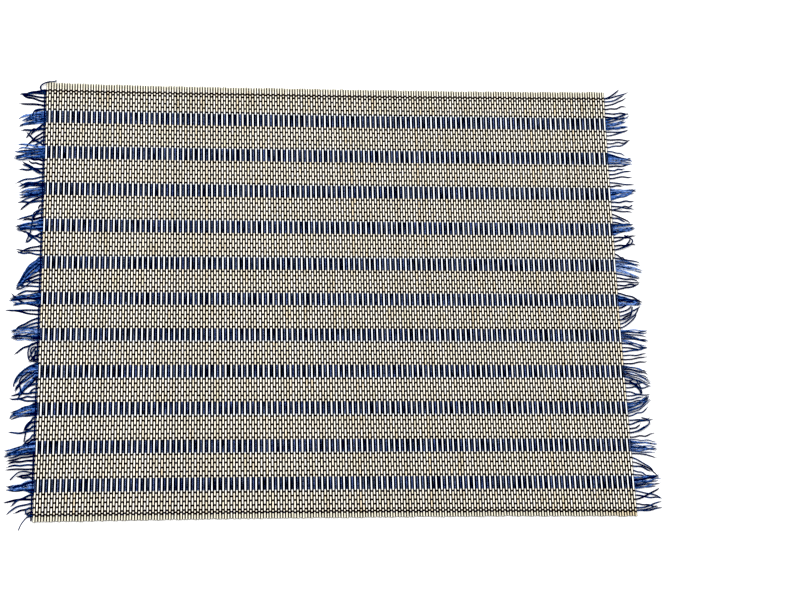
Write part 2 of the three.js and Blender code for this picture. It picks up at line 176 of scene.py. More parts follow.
# The edge yarn: how far out it lies, and its loose far and near ends as (x, y, z).
EDGE_YARN_OUT = 0.95
EDGE_YARN_SPAN = (-163.4, 159.0)
EDGE_YARN_STEPS = 60
EDGE_END_STEPS = 14
EDGE_FAR_END = (
    (-214.9, 158.3, 1.3), (-216.0, 160.9, 1.2), (-214.3, 163.3, 1.9),
    (-210.1, 165.0, 2.2), (-207.0, 165.4, 1.7), (-204.2, 166.6, 0.9),
)
EDGE_NEAR_END = (
    (-216.6, -157.6, 0.9), (-218.0, -159.8, 0.6), (-220.2, -161.4, 0.5),
    (-222.9, -164.6, 0.45), (-224.6, -167.6, 0.4), (-225.6, -170.3, 0.42),
)

# The stage, in metres and degrees: the lights (name, place, width, watts), the sky, the
# floor, the camera, and the picture's tones.
LIGHTS = (
    ("key_light", (-0.7, 0.5, 1.9), 1.2, 29),
    ("fill_light", (0.9, -0.6, 1.8), 1.4, 11),
)
SKY_STRENGTH = 0.80
FLOOR_SIZE, FLOOR_DROP = 6, 0.05 * MM
CAMERA_PLACE = (-0.1438, -0.4118, 1.4034)
CAMERA_TURN = (16.381, -7.233, -1.887)
CAMERA_LENS = 90
GAMMA = 0.8
BLACK_LEVEL = 0.025

# The loose ends of each stripe, from the far end: drop towards the near end at its
# first and last yarn, how far the ends reach out from the mat, how soon they draw
# together (0 to 1), how pale they are and how thick.
LEFT_LOCKS = (
    (4.2, 5.8, 17.6, 0.3, 1.0, 1.08),
    (0.6, 2.4, 20.0, 0.1, 0.95, 1.08),
    (1.2, 4.0, 17.8, 0.1, 1.35, 1.03),
    (5.4, -0.4, 18.5, 0.5, 0.85, 1.05),
    (18.8, 14.6, 16.4, 0.9, 0.75, 1.05),
    (3.4, -1.4, 20.0, 0.2, 0.55, 1.05),
    (2.4, -0.6, 18.8, 0.0, 1.2, 0.84),
    (9.5, 14.5, 15.6, 0.3, 1.05, 1.04),
    (8.2, 2.6, 17.6, 0.2, 0.8, 1.08),
    (8.2, 2.8, 19.4, 0.2, 1.75, 1.08),
    (4.8, -3.2, 17.0, 0.1, 1.5, 1.28),
)
RIGHT_LOCKS = (
    (-6.4, -1.2, 17.0, 0.1, 0.9, 0.87),
    (3.4, -2.6, 17.8, 0.3, 1.2, 0.95),
    (-0.4, -4.9, 18.6, 0.2, 1.5, 0.95),
    (1.2, -4.4, 16.0, 0.4, 1.55, 0.95),
    (0.6, 4.6, 17.7, 0.0, 2.2, 0.72),
    (4.2, -1.6, 16.8, 0.4, 1.2, 0.92),
    (0.0, 4.5, 18.6, 0.1, 1.7, 0.74),
    (3.6, 7.0, 17.4, 0.0, 1.3, 0.74),
    (-4.6, -10.0, 16.2, 0.4, 0.7, 0.68),
    (0.2, 1.8, 18.0, 0.0, 1.45, 0.76),
    (-1.7, -3.2, 18.0, 0.1, 1.1, 0.84),
)

# Yarn ends that curl round others: the group and row that each leaves from, and its way
# as (reach, drop) points. It begins at (0, 0) if they say no other start.
LEFT_CURLS = (
    (3, 3, ((4, 1.2), (6.9, 3.4), (7.9, 7), (8.4, 13), (9.4, 18), (12.4, 25))),
    (7, 0, ((3, 0.6), (6.5, 2.0), (8.0, 7), (7.8, 11), (6.8, 13.5))),
    (7, 1, ((4, 0.4), (6, 2.6), (5.6, 7), (3.2, 10.4), (1.6, 11.5))),
    (7, 5, ((5, 1.5), (9, 4.0), (14, 8.5), (16.6, 13), (17.6, 17))),
    (8, 0, ((0, -4), (6, -5.2), (10, -3), (13, 1), (12.5, 7), (11.5, 11))),
    (9, 1, ((4, 1), (7, 3), (7.6, 8), (8.8, 14.5))),
    (0, 4, ((5.6, 0.4), (8.4, 1.7), (9.6, 4.0), (10.4, 6.2))),
    (1, 1, ((6, 1.4), (8.8, 0.6), (11.4, 3.6), (14.2, 7.6))),
    (2, 3, ((4.5, 0.5), (8.6, -2.2), (12.6, -4.6), (16.2, -6.2))),
    (5, 2, ((5, 1.2), (9.5, 4.6), (13.4, 7.4), (17.4, 8.2))),
    (10, 4, ((6.6, -1.3), (11.3, -0.6), (14.6, 2.2), (17.2, 4.6))),
    (11, 3, ((3.5, 0.3), (5.3, 2.6), (4.1, 5.0), (1.2, 6.2))),
)
RIGHT_CURLS = (
    (3, 2, ((5.6, -0.8), (10.3, -2.9), (13.8, -2.2), (16.8, -4.4))),
    (9, 4, ((7, -1.3), (12.5, -4.2), (15.6, -7.6), (14.2, -10), (10, -11.6))),
    (6, 3, ((5, -0.6), (8.5, -3.2), (9.6, -7.4), (10.4, -10.5))),
    (4, 3, ((5.3, -1), (11.9, -3.7), (14.6, -7.2), (12.3, -9.4), (8.6, -11.9))),
    (8, 0, ((0, 0.5), (4, 1.2), (7.8, 0.6), (11, 5.3), (12.7, 10.3))),
    (8, 1, ((0, -0.5), (5, 0.5), (8.5, 1.5), (10.4, 4.5), (12.2, 8.5))),
)

# Drop and reach of each single yarn's end, by group, from the far end. The first group
# begins with both yarns of its twined pair, and the last one ends with one of its pair.
LEFT_SINGLES = (
    ((2.2, 18), (1.7, 18), (0.3, 18), (-2.6, 17.5), (-5.1, 17.5), (-2.2, 18.5), (1.6, 8)),
    ((7.7, 10.5), (1.7, 17), (13, 14), (4.5, 9), (3, 8), (-9, 13.4)),
    ((-1, 12), (-2.7, 11.5), (1.3, 18), (-7.5, 15.5), (3.5, 19.5), (2.8, 18)),
    ((10.2, 16.6), (1.1, 18), (2, 4), (8, 8), (4.9, 18), (1.7, 14)),
    ((7, 12), (-5, 14.5), (-7, 12), (4.6, 16), (-1.7, 17.8), (-1.9, 17.8)),
    ((9.6, 17), (7.2, 16.6), (3.6, 14), (-2.8, 12), (-1.2, 16.5), (2.9, 17)),
    ((-9.3, 20.5), (-0.6, 24), (-3.3, 19), (9.9, 18), (6.9, 19.6), (2.2, 13)),
    ((7.6, 17), (9, 7), (6.5, 4), (4.9, 6.5), (1.5, 5), (4.2, 9)),
    ((4.6, 6.5), (2.7, 8), (2.7, 6), (1.6, 18), (0.3, 12), (-2.5, 19)),
    ((8.7, 8.7), (4.4, 7.3), (2.9, 7.8), (0.9, 18.8), (7.2, 8.7), (4.8, 9.6)),
    ((3.3, 19.3), (2.1, 18.4), (1.4, 18.8), (0.8, 19.5), (2.1, 11.5), (0, 11)),
    ((7.3, 15), (2.2, 20), (7.2, 18), (3, 12.4), (0.5, 5), (1, 4)),
)
RIGHT_SINGLES = (
    ((-8, 14.5), (-5.1, 18), (-5.4, 15.2), (-6.5, 16.5), (-2.2, 16.4), (-0.6, 17.4), (0, 17)),
    ((-1.8, 16.5), (-4.3, 16.5), (0, 16), (-2.3, 17.8), (-3.1, 15.5), (3, 13)),
    ((-1.4, 16), (-2.2, 11.5), (-3, 17), (-1.4, 17), (1.2, 18.5), (-0.6, 9.5)),
    ((-1.9, 17.4), (2.5, 17), (1.2, 15.5), (6.9, 13.4), (2.5, 10), (1.7, 14.5)),
    ((-1, 16.6), (-5.4, 11.5), (-0.7, 16.6), (-8.5, 13), (3.8, 7.2), (3.1, 18)),
    ((3.6, 17), (1.8, 16), (1.1, 17), (-1.8, 16.6), (-3.7, 16), (5.9, 18)),
    ((-2.4, 6.5), (-4.8, 9.6), (-6.8, 15.7), (-5.2, 9), (-12, 15), (-10.9, 13)),
    ((4.1, 17.4), (1.4, 14), (-2.4, 18), (-1.1, 17.4), (-2.6, 17.4), (-2.2, 17.4)),
    ((10, 11.5), (0, 14), (0, 18), (2, 10.5), (-1.2, 17), (-2.5, 12)),
    ((-5.2, 15), (0, 17.7), (-4.2, 15.5), (-3.2, 8.5), (-6.8, 15), (-2.1, 18)),
    ((2.9, 17.8), (9.9, 15.5), (9.3, 18), (3.7, 13), (3.5, 12), (2.2, 10.5)),
    ((5, 19), (2.2, 18.6), (-8, 18), (1.8, 15.5), (-4.4, 18.6), (-1.6, 18.6)),
)


# --- sizes and colours that a user may change ---


def measure(name, default):
    """A length, with its default in millimetres."""
    return bpy.props.FloatProperty(name=name, default=default * MM, unit="LENGTH", precision=5)


def tint(name, default):
    """A colour."""
    return bpy.props.FloatVectorProperty(
        name=name, default=default, subtype="COLOR", size=3, min=0, max=1
    )


class MatSizes(bpy.types.PropertyGroup):
    """Sizes of the sticks and the yarn."""

    stick_count: bpy.props.IntProperty(name="Sticks side by side", default=220, min=2)
    stick_pitch: measure("Stick pitch", 1.945)
    stick_width: measure("Stick width", 1.76)
    stick_thickness: measure("Stick thickness", 1.2)
    stick_length: measure("Stick length", 2 * HALF_LENGTH)
    yarn_width: measure("Yarn width", 1.25)
    yarn_thickness: measure("Yarn thickness", 0.5)


class MatColours(bpy.types.PropertyGroup):
    """Colours of the bamboo, the yarn and the floor."""

    bamboo: tint("Stick faces", (0.957, 0.933, 0.872))
    # Painted light: the sticks between the yarns of a stripe, whiter and cooler, as if more lit.
    bamboo_stripe_light: tint("Sticks in stripes, painted light", (0.88, 0.925, 0.97))
    bamboo_tip: tint("Stick tips", (0.82, 0.80, 0.69))
    bamboo_tan: tint("Tan patches", (0.80, 0.65, 0.41))
    bamboo_olive: tint("Olive patches", (0.72, 0.68, 0.44))
    # Painted shade: the colour of the stick sides, in the gaps between the sticks.
    bamboo_side_shade: tint("Stick sides, painted shade", (0.024, 0.0135, 0.004))
    bamboo_grain: tint("Stick fibres", (0.46, 0.42, 0.32))
    # The woven yarn's own navy, deepened to near black by painted shade, browner in the single
    # rows.
    yarn: tint("Yarn in stripes", (0.0025, 0.003, 0.009))
    yarn_single: tint("Yarn in single rows", (0.022, 0.013, 0.004))
    # Painted highlight on the woven yarn's crowns, in two hues.
    yarn_lit: tint("Painted highlight", (0.205, 0.28, 0.59))
    yarn_grey_highlight: tint("Painted highlight, greyer", (0.26, 0.32, 0.48))
    # The loose yarn's own navy; then paler blues, partly its own colour and partly painted
    # highlight.
    loose: tint("Loose yarn", (0.0018, 0.006, 0.040))
    loose_lit: tint("Loose yarn, blue and painted highlight", (0.165, 0.375, 0.95))
    loose_pale_blue_and_highlight: tint("Loose yarn, pale blue and painted highlight", (0.43, 0.59, 0.94))
    floor: tint("Floor", (0.93, 0.93, 0.93))


# --- places on the mat, in millimetres ---


def draws(name):
    """The random draws of one part, the same each time."""
    return np.random.RandomState(SEEDS[name])


def drawn_in(x, y):
    """Where a point at x lies after the mat's sides are drawn in."""
    along = y / HALF_LENGTH
    out = np.abs(x) / HALF_WIDTH
    pull = np.where(x < 0, LEFT_DRAW_IN, RIGHT_DRAW_IN) * (1 - along**2) * out
    return x * (1 - WIDENING * along) - np.sign(x) * pull


def settled_row(x, y):
    """Where a point of a row of yarn lies on the settled mat."""
    drift = y - ROW_DRIFT * np.maximum(1 - (y / ROW_DRIFT_REACH) ** 2, 0)
    sag = ROW_SAG * drift / HALF_LENGTH * (1 - np.minimum(np.abs(x) / HALF_WIDTH, 1) ** 2)
    middles = (np.arange(STRIPE_COUNT) - STRIPE_COUNT // 2) * STRIPE_PITCH
    shift = np.interp(y, middles, STRIPE_SHIFTS[::-1])
    slant = ROW_SLANT * x / HALF_WIDTH * y / HALF_LENGTH
    return drawn_in(x, y), drift - sag + shift + slant


def settled_stick(x, y):
    """Where a point of a stick lies on the settled mat."""
    out = np.minimum(np.abs(x) / HALF_WIDTH, 1)
    sag = np.where(y > 0, FAR_END_SAG, NEAR_END_SAG) * (1 - out**3)
    return drawn_in(x, y), y * (1 - sag / HALF_LENGTH)


def stripe_middle(stripe):
    """Middle of a stripe, counted from the far end."""
    return (STRIPE_COUNT // 2 - stripe) * STRIPE_PITCH


def stripe_rows(stripe):
    """Places of a stripe's yarns, from the far end."""
    half = (STRIPE_YARNS - 1) / 2
    return [stripe_middle(stripe) + (half - k) * STRIPE_YARN_PITCH for k in range(STRIPE_YARNS)]


def beside_stripe(stripe, way):
    """Place of the single row next to a stripe: above it (1) or below it (-1)."""
    clear = STRIPE_YARNS * STRIPE_YARN_PITCH / 2
    return stripe_middle(stripe) + way * clear + way * ROW_TO_STRIPE


def single_rows():
    """Each group's single rows, from the far end: (place, over even sticks)."""
    ends = range(ROWS_PER_END)
    far, near = beside_stripe(0, 1), beside_stripe(STRIPE_COUNT - 1, -1)
    groups = [[(far + k * ROW_PITCH, k % 2 == 1) for k in reversed(ends)]]
    for stripe in range(1, STRIPE_COUNT):
        first = beside_stripe(stripe - 1, -1)
        way = beside_stripe(stripe, 1) - first
        places = [first + way * k / (ROWS_PER_GAP - 1) for k in range(ROWS_PER_GAP)]
        groups.append([(place, (k + stripe) % 2 == 0) for k, place in enumerate(places)])
    groups.append([(near - k * ROW_PITCH, k % 2 == 1) for k in ends])
    return groups


def twined_rows():
    """The four yarns of the two twined pairs: (place, over even sticks, arc)."""
    rows = single_rows()
    ends = ((rows[0][0][0] + TWINE_TO_ROW, 1), (rows[-1][-1][0] - TWINE_TO_ROW, -1))
    return [
        (place + way * outer * TWINE_SPREAD, outer < 0, way * TWINE_ARC)
        for place, way in ends
        for outer in (1, -1)
    ]


# --- modelling helpers ---


def deselect_all():
    """Object mode with nothing selected."""
    if bpy.context.mode != "OBJECT":
        bpy.ops.object.mode_set(mode="OBJECT")
    bpy.ops.object.select_all(action="DESELECT")


def make_active(*objects):
    """Selects the objects alone and makes the first one active."""
    deselect_all()
    for obj in objects:
        obj.select_set(True)
    bpy.context.view_layer.objects.active = objects[0]


def place_applied(obj, name):
    """Names obj and puts its place, turn and scale into its mesh."""
    obj.name = name
    obj.data.name = name
    bpy.ops.object.transform_apply(location=True, rotation=True, scale=True)
    return obj


def pick(obj, kind, wanted):
    """In edit mode, selects the vertices or edges for which wanted is true."""
    bpy.ops.mesh.select_mode(type=kind)
    bpy.ops.mesh.select_all(action="DESELECT")
    mesh = bmesh.from_edit_mesh(obj.data)
    found = [part for part in {"VERT": mesh.verts, "EDGE": mesh.edges}[kind] if wanted(part)]
    if not found:
        raise RuntimeError(f"nothing to select on {obj.name}")
    for part in found:
        part.select_set(True)
    mesh.select_flush_mode()
    bmesh.update_edit_mesh(obj.data)


def read_points(mesh):
    """The mesh's points in millimetres."""
    flat = np.empty(len(mesh.vertices) * 3, dtype=np.float64)
    mesh.vertices.foreach_get("co", flat)
    return flat.reshape(-1, 3) / MM


def write_points(mesh, points):
    """Puts points, in millimetres, into the mesh."""
    mesh.vertices.foreach_set("co", (points * MM).astype(np.float32).ravel())
    mesh.update()


def write_attribute(mesh, name, values):
    """A number for each point of the mesh, for its material to read."""
    attribute = mesh.attributes.new(name, "FLOAT", "POINT")
    attribute.data.foreach_set("value", values.astype(np.float32))


def finish_piece(piece, material, nodes):
    """Gives a piece its material and body, and hides the nodes it stands for."""
    piece.data.materials.append(finish(material))
    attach(piece, BODY)
    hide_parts(*nodes)


def smooth_path(points, count):
    """count points on a smooth line through the given ones."""
    points = np.asarray(points, dtype=float)
    padded = np.vstack([2 * points[0] - points[1], points, 2 * points[-1] - points[-2]])
    places = np.linspace(0, len(points) - 1, count)
    index = np.minimum(places.astype(int), len(points) - 2)
    t = (places - index)[:, None]
    a, b, c, d = (padded[index + k] for k in range(4))
    return 0.5 * (
        2 * b
        + (c - a) * t
        + (2 * a - 5 * b + 4 * c - d) * t**2
        + (3 * b - a - 3 * c + d) * t**3
    )


class YarnMesh:
    """Collects round yarns into one closed mesh, with a map along and round them."""

    def __init__(self):
        self.points, self.faces, self.maps, self.tips, self.tones = [], [], [], [], []

    def add(self, path, radii, sides, tone, tip_start=0.75, turn=0.0):
        """A yarn along path, in millimetres, with a radius at each point."""
        path = np.array(path, dtype=float)
        radii = np.asarray(radii, dtype=float)
        # Nothing sinks into the floor.
        path[:, 2] = np.maximum(path[:, 2], radii + FLOOR_GAP)
        steps = len(path)
        ahead = np.gradient(path, axis=0)
        ahead /= np.linalg.norm(ahead, axis=1)[:, None]
        beside = np.cross([0.0, 0.0, 1.0], ahead)
        beside /= np.linalg.norm(beside, axis=1)[:, None]
        above = np.cross(ahead, beside)
        angle = turn + np.arange(sides) * FULL_TURN / sides
        ring = beside[:, None] * np.cos(angle)[:, None] + above[:, None] * np.sin(angle)[:, None]
        points = path[:, None] + ring * radii[:, None, None]
        start = sum(map(len, self.points))
        self.points.append(points.reshape(-1, 3))
        share = np.linspace(0, 1, steps)
        tip = np.clip((share - tip_start) / (1 - tip_start), 0, 1)
        self.tips.append(np.repeat(tip, sides))
        self.tones.append(np.full(steps * sides, tone))

        length = np.append(0, np.cumsum(np.linalg.norm(np.diff(path, axis=0), axis=1)))
        for k in range(steps - 1):
            a = start + k * sides
            b = a + sides
            for j in range(sides):
                n = (j + 1) % sides
                self.faces.append((a + j, a + n, b + n, b + j))
                for row, side in ((k, j), (k, j + 1), (k + 1, j + 1), (k + 1, j)):
                    self.maps += (length[row], side / sides)
        last = start + (steps - 1) * sides
        self.faces.append(range(start + sides - 1, start - 1, -1))
        self.maps += (0.0, 0.5) * sides
        self.faces.append(range(last, last + sides))
        self.maps += (length[-1], 0.5) * sides

    def piece(self, name):
        """The yarns as one object."""
        mesh = bpy.data.meshes.new(name)
        mesh.from_pydata((np.vstack(self.points) * MM).tolist(), [], self.faces)
        mesh.uv_layers.new(name="yarn").data.foreach_set("uv", self.maps)
        write_attribute(mesh, "yarn_tip", np.concatenate(self.tips))
        write_attribute(mesh, "yarn_tone", np.concatenate(self.tones))
        mesh.polygons.foreach_set("use_smooth", [True] * len(mesh.polygons))
        mesh.validate()
        mesh.update()
        obj = bpy.data.objects.new(name, mesh)
        bpy.context.collection.objects.link(obj)
        return obj


# --- finishes ---


def put_in(tree, value, socket):
    """Links a worked-out value or a socket into socket, or sets a plain value there."""
    if isinstance(value, Value):
        tree.links.new(value.socket, socket)
    elif isinstance(value, bpy.types.NodeSocket):
        tree.links.new(value, socket)
    else:
        socket.default_value = value


def math_node(tree, operation, *values):
    """The result of a Math node on the given values."""
    node = tree.nodes.new("ShaderNodeMath")
    node.operation = operation
    for socket, value in zip(node.inputs, values):
        put_in(tree, value, socket)
    return Value(tree, node.outputs[0])


def arithmetic(operation):
    """A method that adds a Math node on a value and another one."""
    return lambda value, other: math_node(value.tree, operation, value, other)


class Value:
    """A number in a node tree. Arithmetic on it adds the Math nodes for it."""

    def __init__(self, tree, socket):
        self.tree = tree
        self.socket = socket

    __add__ = arithmetic("ADD")
    __sub__ = arithmetic("SUBTRACT")
    __mul__ = arithmetic("MULTIPLY")
    __truediv__ = arithmetic("DIVIDE")
    __pow__ = arithmetic("POWER")

    def __rsub__(self, other):
        return math_node(self.tree, "SUBTRACT", other, self)

    def __abs__(self):
        return math_node(self.tree, "ABSOLUTE", self)

    def clamped(self):
        """The same number, kept between 0 and 1 by its own node."""
        self.socket.node.use_clamp = True
        return self


def past(value, start, blend):
    """0 up to start, then rising to 1 over the way blend."""
    return ((value - start) / blend).clamped()


def node_group(name, **inputs):
    """A new shader node group with named sockets: its inputs and its one output."""
    group = bpy.data.node_groups.new(name, "ShaderNodeTree")
    sockets = group.interface
    for label, default in inputs.items():
        kind = "NodeSocketFloat" if isinstance(default, float) else "NodeSocketVector"
        label = label.replace("_", " ").capitalize()
        sockets.new_socket(name=label, in_out="INPUT", socket_type=kind).default_value = default
    sockets.new_socket(name="Value", in_out="OUTPUT", socket_type="NodeSocketFloat")
    given = group.nodes.new("NodeGroupInput").outputs
    return group, given, group.nodes.new("NodeGroupOutput").inputs["Value"]


def soft_variation():
    """Group: soft, uneven variation stretched along one way, from 0 to 1."""
    group, given, result = node_group(
        "Soft variation", vector=(0, 0, 0), stretch=(1, 1, 1), contrast=2.0
    )
    stretched = group.nodes.new("ShaderNodeVectorMath")
    stretched.operation = "MULTIPLY"
    put_in(group, given["Vector"], stretched.inputs[0])
    put_in(group, given["Stretch"], stretched.inputs[1])
    noise = group.nodes.new("ShaderNodeTexNoise")
    noise.inputs["Scale"].default_value = 1.0
    noise.inputs["Detail"].default_value = 3.0
    put_in(group, stretched.outputs[0], noise.inputs["Vector"])
    strong = (Value(group, noise.outputs["Fac"]) - 0.5) * given["Contrast"]
    put_in(group, (strong + 0.5).clamped(), result)
    return group


def ply_twist():
    """Group: slanting ridges of twisted plies, from 0 in a groove to 1 on a ply."""
    group, given, result = node_group(
        "Ply twist", along=0.0, across=0.0, turns_along=1.0, turns_across=1.0
    )
    along = Value(group, given["Along"]) * given["Turns along"]
    across = Value(group, given["Across"]) * given["Turns across"]
    wave = math_node(group, "SINE", (along + across) * FULL_TURN)
    put_in(group, wave * 0.5 + 0.5, result)
    return group


def use_group(tree, name, make, *values):
    """The result of the named group in tree, with the given values in its sockets."""
    node = tree.nodes.new("ShaderNodeGroup")
    node.node_tree = bpy.data.node_groups.get(name) or make()
    for socket, value in zip(node.inputs, values):
        put_in(tree, value, socket)
    return Value(tree, node.outputs[0])


def variation(tree, place, stretch, contrast):
    """Soft variation over place, stretched by so much along x, y and z."""
    return use_group(tree, "Soft variation", soft_variation, place, stretch, contrast)


def mixed(tree, share, first, second):
    """A colour between first and second, sockets or plain colours, by share."""
    node = tree.nodes.new("ShaderNodeMix")
    node.data_type = "RGBA"
    put_in(tree, share, node.inputs["Factor"])
    for socket, colour in ((node.inputs[6], first), (node.inputs[7], second)):
        linked = isinstance(colour, bpy.types.NodeSocket)
        put_in(tree, colour if linked else (*colour, 1.0), socket)
    return node.outputs[2]


def plain_material(name, roughness, specular):
    """A new material, its tree and its shader."""
    material = bpy.data.materials.new(name)
    material.use_nodes = True
    shader = material.node_tree.nodes["Principled BSDF"]
    shader.inputs["Roughness"].default_value = roughness
    shader.inputs["Specular IOR Level"].default_value = specular
    return material, material.node_tree, shader


def parted(tree, vector):
    """The three parts of a vector."""
    parts = tree.nodes.new("ShaderNodeSeparateXYZ")
    put_in(tree, vector, parts.inputs[0])
    return [Value(tree, socket) for socket in parts.outputs]


def read_attribute(tree, name):
    """The value of a mesh attribute."""
    node = tree.nodes.new("ShaderNodeAttribute")
    node.attribute_name = name
    return Value(tree, node.outputs["Fac"])


def stripe_light_mask(y):
    """Where the sticks are painted brighter light: 1 where they show between the yarns of a
    stripe, 0 elsewhere.
    """
    drift = (1.0 - (y / (ROW_DRIFT_REACH * MM)) ** 2.0) * (ROW_DRIFT * MM)
    mean_shift = sum(STRIPE_SHIFTS) / len(STRIPE_SHIFTS)
    row = y + drift - mean_shift * MM
    wave = math_node(y.tree, "COSINE", row * (FULL_TURN / (STRIPE_PITCH * MM)))
    return past(wave, 0.3, 0.3) * (1.0 - past(abs(y), STRIPES_END * MM, STRIPES_BLEND * MM))


def split_bamboo(tree, coordinates, colours):
    """Colour and relief of the sticks: tan and olive streaks and fine fibres on pale
    faces, with bare tips, painted light that makes them whiter in the stripes and painted
    shade that darkens their sides, in the gaps between the sticks."""
    place = coordinates["Object"]
    x, y, _ = parted(tree, place)
    tan_patch = variation(tree, place, (520, 42, 1), 2.8)
    olive_patch = variation(tree, place, (410, 30, 1), 2.8)
    grain = variation(tree, place, (3600, 70, 3600), 2.6)
    face = mixed(tree, olive_patch**4.0 * 0.45, colours.bamboo, colours.bamboo_olive)
    tan_share = (tan_patch**6.0 * 0.55 + read_attribute(tree, "stick_tone")).clamped()
    face = mixed(tree, tan_share, face, colours.bamboo_tan)
    # Painted light: whiter sticks between the yarns of the stripes.
    face = mixed(tree, stripe_light_mask(y), face, colours.bamboo_stripe_light)
    right = past(x, CORNER_START * MM, CORNER_BLEND * MM)
    corner = right * math_node(tree, "LESS_THAN", y, 0.0)
    tip = mixed(tree, corner, colours.bamboo_tip, colours.bamboo_tan)
    face = mixed(tree, past(abs(y), TIP_START * MM, TIP_BLEND * MM), face, tip)
    face = mixed(tree, grain**2.2 * 0.75, face, colours.bamboo_grain)
    # Painted shade: the sides darken below each face, for the shade in the gaps between the
    # sticks.
    side = past(read_attribute(tree, "stick_depth"), SIDE_SHADE_START, SIDE_SHADE_BLEND)
    return mixed(tree, side, face, colours.bamboo_side_shade), grain


def woven_yarn(tree, coordinates, colours):
    """Colour and relief of the navy yarn in the weave: slanting plies, a painted highlight
    broken by fibres, and painted shade.
    """
    place = coordinates["Object"]
    x, y, z = parted(tree, place)
    twist = use_group(tree, "Ply twist", ply_twist, x, y, 900.0, 700.0)
    cloudy = variation(tree, place, (260, 60, 1), 4.0)
    highlight_greying = variation(tree, place, (150, 45, 1), 3.5)
    fibres = variation(tree, place, (700, 1500, 700), 2.4)
    # Painted highlight only where the yarn is high or low, most in the middle of each step
    # and on the plies rather than in their grooves; elsewhere painted shade.
    crown = past(abs(z - MIDDLE * MM), CROWN_START * MM, CROWN_BLEND * MM)
    part = math_node(tree, "FRACT", read_attribute(tree, "yarn_step"))
    hump = ((1.0 - abs(part * 2.0 - 1.0)) ** 1.2 * 1.8).clamped()
    tone = read_attribute(tree, "yarn_tone")
    light = crown * hump * (cloudy + 0.18) * (twist + 0.35) * (fibres + 0.3)
    # The lit colours are a painted highlight; the dark ones are the yarn's own navy, deepened by
    # painted shade.
    lit = mixed(tree, highlight_greying, colours.yarn_lit, colours.yarn_grey_highlight)
    dark = mixed(tree, (tone * 1.6).clamped(), colours.yarn_single, colours.yarn)
    return mixed(tree, (light * tone).clamped(), dark, lit), twist


def loose_yarn(tree, coordinates, colours):
    """Colour and relief of the royal blue yarn ends: navy, lit with blues that are partly the
    yarn's own and partly painted highlight, with painted shade in the grooves between the plies,
    darker towards their tips.
    """
    along, across, _ = parted(tree, coordinates["UV"])
    twist = use_group(tree, "Ply twist", ply_twist, along, across, 0.9, 2.0)
    fibres = variation(tree, coordinates["Object"], (500, 900, 500), 3.0)
    tone = read_attribute(tree, "yarn_tone")
    fade = 1.0 - read_attribute(tree, "yarn_tip") * 0.6
    # Painted highlight on the plies and not in their grooves, broken by fibres, less towards the
    # tips.
    light = (twist * fibres * tone * fade).clamped()
    pale_share = ((tone - 1.0) * 0.35).clamped()
    lit = mixed(tree, pale_share, colours.loose_lit, colours.loose_pale_blue_and_highlight)
    return mixed(tree, light, colours.loose, lit), twist


# Each finish: its colour and relief, roughness, specular level, how strong the relief
# is, and the weight and roughness of its sheen.
FINISHES = {
    "split_bamboo": (split_bamboo, 0.5, 0.12, 0.25, 0.0, 0.5),
    "woven_yarn": (woven_yarn, 0.85, 0.04, 0.5, 0.01, 0.5),
    "loose_yarn": (loose_yarn, 0.8, 0.05, 0.5, 0.02, 0.4),
}


def finish(name):
    """The named finish, made the first time that it is asked for."""
    if name in bpy.data.materials:
        return bpy.data.materials[name]
    make, roughness, specular, strength, sheen, sheen_roughness = FINISHES[name]
    material, tree, shader = plain_material(name, roughness, specular)
    shader.inputs["Sheen Weight"].default_value = sheen
    shader.inputs["Sheen Roughness"].default_value = sheen_roughness
    coordinates = tree.nodes.new("ShaderNodeTexCoord").outputs
    colour, height = make(tree, coordinates, bpy.context.scene.mat_colours)
    tree.links.new(colour, shader.inputs["Base Color"])
    bump = tree.nodes.new("ShaderNodeBump")
    bump.inputs["Strength"].default_value = strength
    bump.inputs["Distance"].default_value = RELIEF * MM
    put_in(tree, height, bump.inputs["Height"])
    tree.links.new(bump.outputs[0], shader.inputs["Normal"])
    return material


# --- the sticks ---


def model_stick(sizes):
    """One stick at the left edge: a bar with eased long edges, cut along its length."""
    deselect_all()
    left = -(sizes.stick_count - 1) / 2 * sizes.stick_pitch
    bpy.ops.mesh.primitive_cube_add(size=1, location=(left, 0, MIDDLE * MM))
    stick = bpy.context.active_object
    stick.scale = (sizes.stick_width, sizes.stick_length, sizes.stick_thickness)
    place_applied(stick, "stick_mat")
    bpy.ops.object.mode_set(mode="EDIT")

    def runs_along(edge):
        way = edge.verts[1].co - edge.verts[0].co
        return abs(way.y) > 0.9 * way.length

    pick(stick, "EDGE", runs_along)
    bpy.ops.mesh.bevel(offset=STICK_EDGE * MM, segments=2, affect="EDGES")
    pick(stick, "EDGE", runs_along)
    bpy.ops.mesh.subdivide(number_cuts=STICK_CUTS)
    bpy.ops.object.mode_set(mode="OBJECT")
    return stick


def array_along_x(obj, count, step, merge):
    """Repeats obj count times along x and applies it."""
    make_active(obj)
    bpy.ops.object.modifier_add(type="ARRAY")
    repeat = obj.modifiers[-1]
    repeat.count = count
    repeat.use_relative_offset = False
    repeat.use_constant_offset = True
    repeat.constant_offset_displace = (step, 0, 0)
    repeat.use_merge_vertices = merge
    repeat.merge_threshold = 0.01 * MM
    bpy.ops.object.modifier_apply(modifier=repeat.name)


def stick_places(sizes):
    """Middle of each stick along x, before it sways."""
    count = sizes.stick_count
    return (np.arange(count) - (count - 1) / 2) * sizes.stick_pitch / MM


def stick_sway(sizes, index, y):
    """How far the sticks at index stand off their places at y, and each one's phase."""
    draw = draws("sway")
    count = sizes.stick_count
    shift = np.clip(draw.normal(0, SWAY, count), -MOST_SWAY, MOST_SWAY)
    bow = np.clip(draw.normal(0, SWAY, count), -MOST_SWAY, MOST_SWAY)
    phase = draw.uniform(0, FULL_TURN, count)[index]
    return shift[index] + bow[index] * np.sin(y / SWAY_WAVE + phase), phase


def nearest_stick(x, sizes):
    """Which stick each point lies on."""
    places = stick_places(sizes)
    index = np.round((x - places[0]) / (sizes.stick_pitch / MM)).astype(int)
    return np.clip(index, 0, len(places) - 1)


